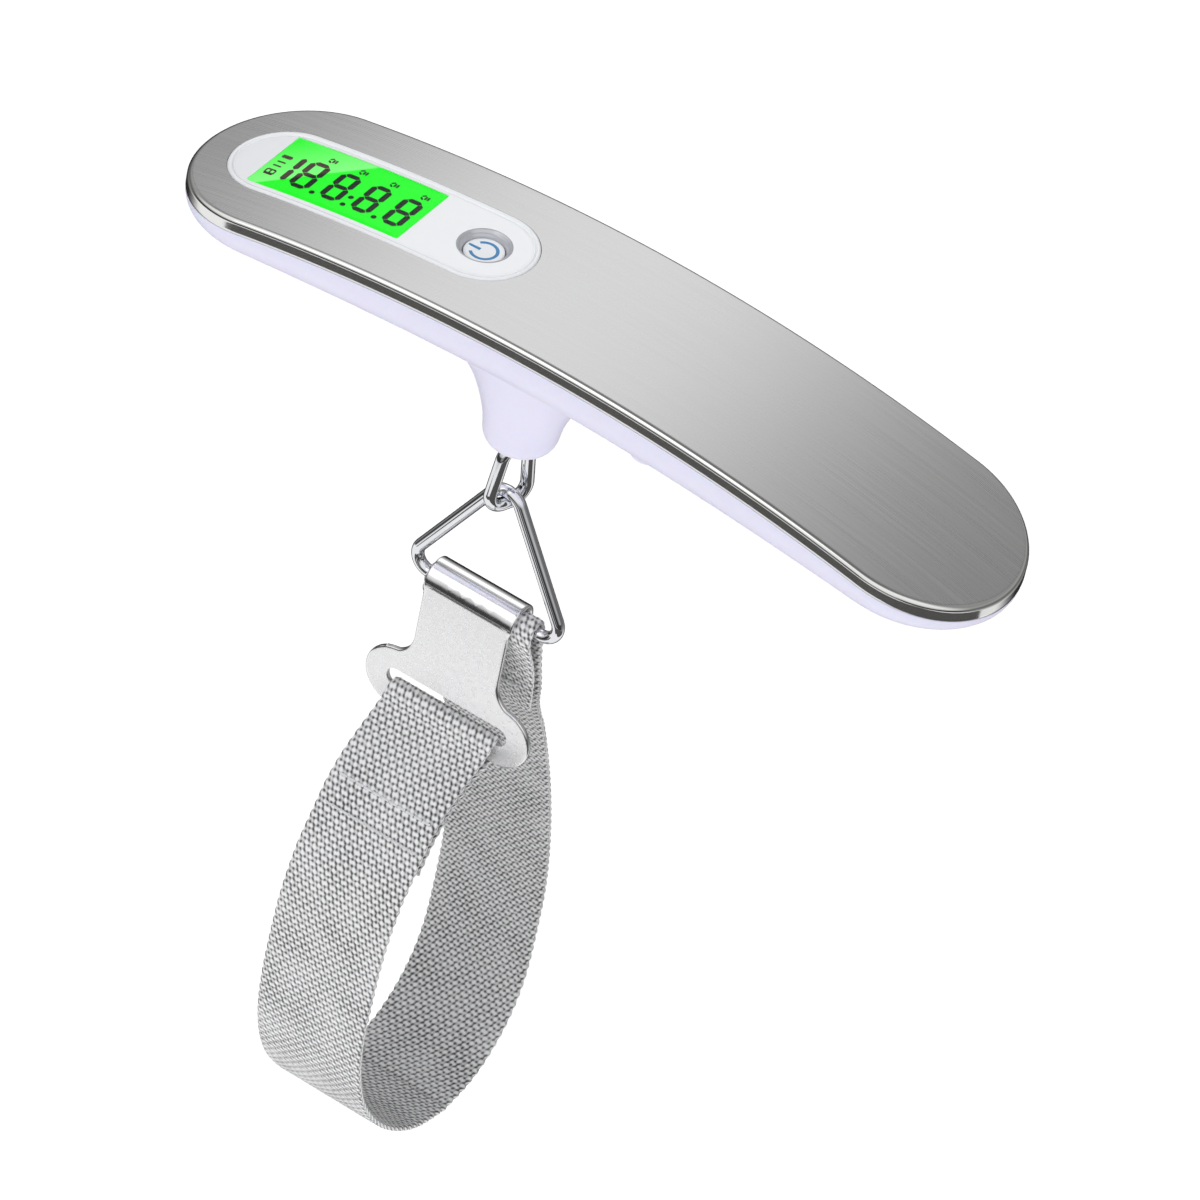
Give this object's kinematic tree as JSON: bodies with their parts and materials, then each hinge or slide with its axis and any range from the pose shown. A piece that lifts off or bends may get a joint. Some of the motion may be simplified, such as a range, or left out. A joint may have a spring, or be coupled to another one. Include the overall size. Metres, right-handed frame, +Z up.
{
  "type": "digital luggage scale",
  "caption": "Hand-held hanging scale: arched grip with a display and button, a swivelling hook, a triangular ring and a webbing loop closed by a hook plate.",
  "frame": {"origin": "top of the arched cover at mid length, where the palm carries the grip", "axes": "+X along the grip towards the battery end, +Y across the grip away from the hook plate's face, +Z up; the hook, ring and webbing loop hang down -Z"},
  "size_m": [0.1474, 0.0546, 0.1799],
  "materials": {
    "brushed_cover": "fine brushed lines along the grip",
    "film": "thin bonding film",
    "inner_plastic": "moulded, matt",
    "gloss_insert": "glossy moulded",
    "clear_window": "clear, polished",
    "display_green": "lit green panel with dark segments",
    "light_guide": "translucent",
    "elastomer": "soft striped rubber",
    "board_green": "solder mask",
    "potting": "cured resin",
    "small_metal": "bright stamped metal",
    "black_plastic": "moulded, matt",
    "screw_steel": "zinc plated",
    "casing_plastic": "satin moulded, faint lavender white",
    "bush_nylon": "natural nylon",
    "beam_aluminium": "milled",
    "gauge_film": "foil on amber film",
    "contact_brass": "bright spring strip",
    "wire_jacket": "smooth insulation",
    "button_clear": "clear moulded with a printed ring",
    "chromed_wire": "polished chrome",
    "grey_webbing": "plain-woven webbing",
    "white_thread": "sewing thread",
    "plated_sheet": "satin plated sheet"
  },
  "bodies": {
    "case": {"steel_cover": "brushed_cover", "cover_tape": "film", "upper_frame": "inner_plastic", "display_bezel": "gloss_insert", "display_lens": "clear_window", "lcd_panel": "display_green", "backlight_panel": "light_guide", "contact_strips": "elastomer", "circuit_board": "board_green", "control_chip": "potting", "crystal": "small_metal", "tact_switch": "black_plastic", "board_screws": "screw_steel", "lower_casing": "casing_plastic", "casing_screws": "screw_steel", "neck_bush": "bush_nylon", "load_cell": "beam_aluminium", "strain_gauges": "gauge_film", "load_cell_washers": "small_metal", "load_cell_screws": "screw_steel", "hook_washer": "small_metal", "battery_tray": "black_plastic", "battery_cell": "small_metal", "positive_contact": "contact_brass", "negative_spring": "contact_brass", "gauge_wires": "wire_jacket", "battery_wires": "wire_jacket"},
    "button": {"power_button": "button_clear", "switch_plunger": "bush_nylon"},
    "hook": {"hook_eye": "chromed_wire", "hook_nut": "screw_steel"},
    "ring": {"triangle_ring": "chromed_wire"},
    "webbing": {"strap": "grey_webbing", "strap_stitching": "white_thread"},
    "plate": {"hook_plate": "plated_sheet", "strap_end": "grey_webbing", "end_stitching": "white_thread"},
    "door": {"battery_door": "casing_plastic"}
  },
  "joints": [
    {"name": "button_press", "type": "slide", "parent": "case", "child": "button", "axis": [0.0793, 0, -0.9969], "range_m": [0, 0.0005], "stiffness_N_per_m": 600},
    {"name": "hook_swivel", "type": "hinge", "parent": "case", "child": "hook", "pos_m": [-0.011, 0, -0.03], "axis": [0, 0, 1], "continuous": true},
    {"name": "ring_swing", "type": "hinge", "parent": "hook", "child": "ring", "pos_m": [-0.011, 0, -0.0453], "axis": [0.342, 0.9397, 0], "range_deg": [-55, 55]},
    {"name": "strap_swing", "type": "hinge", "parent": "ring", "child": "webbing", "pos_m": [-0.011, 0, -0.0664], "axis": [1, 0, 0], "range_deg": [-60, 60]},
    {"name": "plate_lift", "type": "slide", "parent": "webbing", "child": "plate", "axis": [0, 0, 1], "range_m": [0, 0.0025]},
    {"name": "door_pull", "type": "slide", "parent": "case", "child": "door", "axis": [-0.1769, 0, -0.9842], "range_m": [0, 0.012]}
  ]
}
